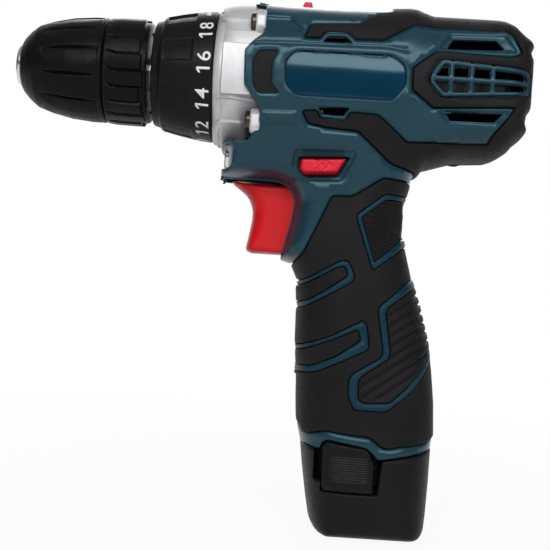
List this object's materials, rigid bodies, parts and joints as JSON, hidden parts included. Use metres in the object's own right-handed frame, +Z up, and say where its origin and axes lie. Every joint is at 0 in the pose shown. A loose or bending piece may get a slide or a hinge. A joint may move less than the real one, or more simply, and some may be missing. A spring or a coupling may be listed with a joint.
{
  "type": "cordless drill driver",
  "caption": "Pistol-grip cordless drill driver with a keyless chuck, torque collar, planetary gearbox, trigger, direction and speed switches and a slide-out battery.",
  "frame": {"origin": "centre of the battery's flat base, on which the tool stands", "axes": "+Z up from the base; the spindle runs along X with the chuck towards -X; +Y is the right side of the tool as its user sees it, and -Y its left side"},
  "size_m": [0.1808, 0.0568, 0.187],
  "materials": {
    "blue_plastic": "satin, petrol blue",
    "black_rubber": "soft matte grip",
    "black_plastic": "fine texture",
    "battery_plastic": "fine texture",
    "red_plastic": "satin red",
    "silver_aluminium": "satin cast",
    "bright_steel": "machined",
    "dark_steel": "black oxide",
    "clear_lens": "clear",
    "cell_wrap": "wrapped in blue film",
    "brass": "plated"
  },
  "bodies": {
    "housing": {"housing_left": "blue_plastic", "housing_right": "blue_plastic", "body_rubber_left": "black_rubber", "body_rubber_right": "black_rubber", "grip_rubber_left": "black_rubber", "grip_rubber_right": "black_rubber", "nose_pad_left": "black_rubber", "nose_pad_right": "black_rubber", "housing_screw_1": "dark_steel", "housing_screw_2": "dark_steel", "housing_screw_3": "dark_steel", "housing_screw_4": "dark_steel", "housing_screw_5": "dark_steel", "housing_screw_6": "dark_steel", "gearbox_housing": "silver_aluminium", "gearbox_screw_1": "dark_steel", "gearbox_screw_2": "dark_steel", "gearbox_screw_3": "dark_steel", "gearbox_screw_4": "dark_steel", "gearbox_rear_plate": "bright_steel", "ring_gear_front": "dark_steel", "spindle_bearing": "bright_steel", "motor_can": "bright_steel", "motor_end_cap": "black_plastic", "clutch_spring": "bright_steel", "clutch_washer": "bright_steel", "switch_body": "black_plastic", "trigger_spring": "bright_steel", "work_light_lens": "clear_lens", "terminal_block": "brass"},
    "spindle": {"output_spindle": "bright_steel", "planet_carrier_front": "bright_steel", "chuck_body": "bright_steel", "chuck_rear_sleeve": "black_plastic", "chuck_screw": "dark_steel"},
    "chuck_sleeve": {"chuck_front_sleeve": "black_plastic", "chuck_nut": "dark_steel"},
    "jaw_1": {"chuck_jaw_1": "dark_steel"},
    "jaw_2": {"chuck_jaw_2": "dark_steel"},
    "jaw_3": {"chuck_jaw_3": "dark_steel"},
    "front_planet_1": {"planet_front_1": "bright_steel"},
    "front_planet_2": {"planet_front_2": "bright_steel"},
    "front_planet_3": {"planet_front_3": "bright_steel"},
    "rear_carrier": {"planet_carrier_rear": "bright_steel"},
    "rear_planet_1": {"planet_rear_1": "bright_steel"},
    "rear_planet_2": {"planet_rear_2": "bright_steel"},
    "rear_planet_3": {"planet_rear_3": "bright_steel"},
    "rotor": {"motor_rotor": "dark_steel"},
    "shift_ring": {"ring_gear_rear": "dark_steel"},
    "collar": {"torque_collar": "black_plastic"},
    "trigger": {"trigger": "red_plastic"},
    "direction_button": {"direction_button": "red_plastic"},
    "speed_selector": {"speed_selector": "red_plastic"},
    "battery": {"battery_case": "battery_plastic", "battery_cap": "black_plastic", "battery_cell_1": "cell_wrap", "battery_cell_2": "cell_wrap", "battery_cell_3": "cell_wrap"},
    "latch_left": {"battery_latch_left": "black_plastic"},
    "latch_right": {"battery_latch_right": "black_plastic"}
  },
  "joints": [
    {"name": "spindle_spin", "type": "hinge", "parent": "housing", "child": "spindle", "pos_m": [-0.1, 0, 0.1585], "axis": [1, 0, 0], "continuous": true},
    {"name": "sleeve_turn", "type": "hinge", "parent": "spindle", "child": "chuck_sleeve", "pos_m": [-0.117, 0, 0.1585], "axis": [1, 0, 0], "range_deg": [0, 1080]},
    {"name": "jaw_slide_1", "type": "slide", "parent": "spindle", "child": "jaw_1", "axis": [-0.9659, 0, -0.2588], "range_m": [0, 0.0165]},
    {"name": "jaw_slide_2", "type": "slide", "parent": "spindle", "child": "jaw_2", "axis": [-0.9659, 0.2241, 0.1294], "range_m": [0, 0.0165]},
    {"name": "jaw_slide_3", "type": "slide", "parent": "spindle", "child": "jaw_3", "axis": [-0.9659, -0.2241, 0.1294], "range_m": [0, 0.0165]},
    {"name": "front_planet_spin_1", "type": "hinge", "parent": "spindle", "child": "front_planet_1", "pos_m": [-0.03325, 0, 0.1705], "axis": [1, 0, 0], "continuous": true},
    {"name": "front_planet_spin_2", "type": "hinge", "parent": "spindle", "child": "front_planet_2", "pos_m": [-0.03325, -0.01039, 0.1525], "axis": [1, 0, 0], "continuous": true},
    {"name": "front_planet_spin_3", "type": "hinge", "parent": "spindle", "child": "front_planet_3", "pos_m": [-0.03325, 0.01039, 0.1525], "axis": [1, 0, 0], "continuous": true},
    {"name": "rear_planet_spin_1", "type": "hinge", "parent": "rear_carrier", "child": "rear_planet_1", "pos_m": [-0.0172, 0, 0.1705], "axis": [1, 0, 0], "continuous": true},
    {"name": "rear_planet_spin_2", "type": "hinge", "parent": "rear_carrier", "child": "rear_planet_2", "pos_m": [-0.0172, -0.01039, 0.1525], "axis": [1, 0, 0], "continuous": true},
    {"name": "rear_planet_spin_3", "type": "hinge", "parent": "rear_carrier", "child": "rear_planet_3", "pos_m": [-0.0172, 0.01039, 0.1525], "axis": [1, 0, 0], "continuous": true},
    {"name": "rear_carrier_spin", "type": "hinge", "parent": "housing", "child": "rear_carrier", "pos_m": [-0.025, 0, 0.1585], "axis": [1, 0, 0], "continuous": true},
    {"name": "rotor_spin", "type": "hinge", "parent": "housing", "child": "rotor", "pos_m": [0.012, 0, 0.1585], "axis": [1, 0, 0], "continuous": true},
    {"name": "collar_turn", "type": "hinge", "parent": "housing", "child": "collar", "pos_m": [-0.074, 0, 0.1585], "axis": [1, 0, 0], "range_deg": [-290, 0]},
    {"name": "trigger_pull", "type": "slide", "parent": "housing", "child": "trigger", "axis": [1, 0, 0], "range_m": [0, 0.007], "stiffness_N_per_m": 800, "springref_m": -0.004, "deforming": ["trigger_spring"]},
    {"name": "direction_slide", "type": "slide", "parent": "housing", "child": "direction_button", "axis": [0, 1, 0], "range_m": [0, 0.004]},
    {"name": "speed_slide", "type": "slide", "parent": "housing", "child": "speed_selector", "axis": [-1, 0, 0], "range_m": [0, 0.006]},
    {"name": "ring_shift", "type": "slide", "parent": "housing", "child": "shift_ring", "axis": [-1, 0, 0], "range_m": [0, 0.006]},
    {"name": "battery_slide", "type": "slide", "parent": "housing", "child": "battery", "axis": [0.0872, 0, -0.9962], "range_m": [0, 0.06]},
    {"name": "latch_left_press", "type": "slide", "parent": "battery", "child": "latch_left", "axis": [0, 1, 0], "range_m": [0, 0.002], "stiffness_N_per_m": 1000, "springref_m": -0.001},
    {"name": "latch_right_press", "type": "slide", "parent": "battery", "child": "latch_right", "axis": [0, -1, 0], "range_m": [0, 0.002], "stiffness_N_per_m": 1000, "springref_m": -0.001}
  ],
  "couplings": [
    {"joint": "jaw_slide_1", "follows": "sleeve_turn", "m_per_rad": 0.00087535},
    {"joint": "jaw_slide_2", "follows": "sleeve_turn", "m_per_rad": 0.00087535},
    {"joint": "jaw_slide_3", "follows": "sleeve_turn", "m_per_rad": 0.00087535},
    {"joint": "front_planet_spin_1", "follows": "spindle_spin", "ratio": -3},
    {"joint": "front_planet_spin_2", "follows": "spindle_spin", "ratio": -3},
    {"joint": "front_planet_spin_3", "follows": "spindle_spin", "ratio": -3},
    {"joint": "rear_planet_spin_1", "follows": "spindle_spin", "ratio": -12},
    {"joint": "rear_planet_spin_2", "follows": "spindle_spin", "ratio": -12},
    {"joint": "rear_planet_spin_3", "follows": "spindle_spin", "ratio": -12},
    {"joint": "rear_carrier_spin", "follows": "spindle_spin", "ratio": 4},
    {"joint": "rotor_spin", "follows": "spindle_spin", "ratio": 16},
    {"joint": "ring_shift", "follows": "speed_slide", "ratio": 1}
  ]
}
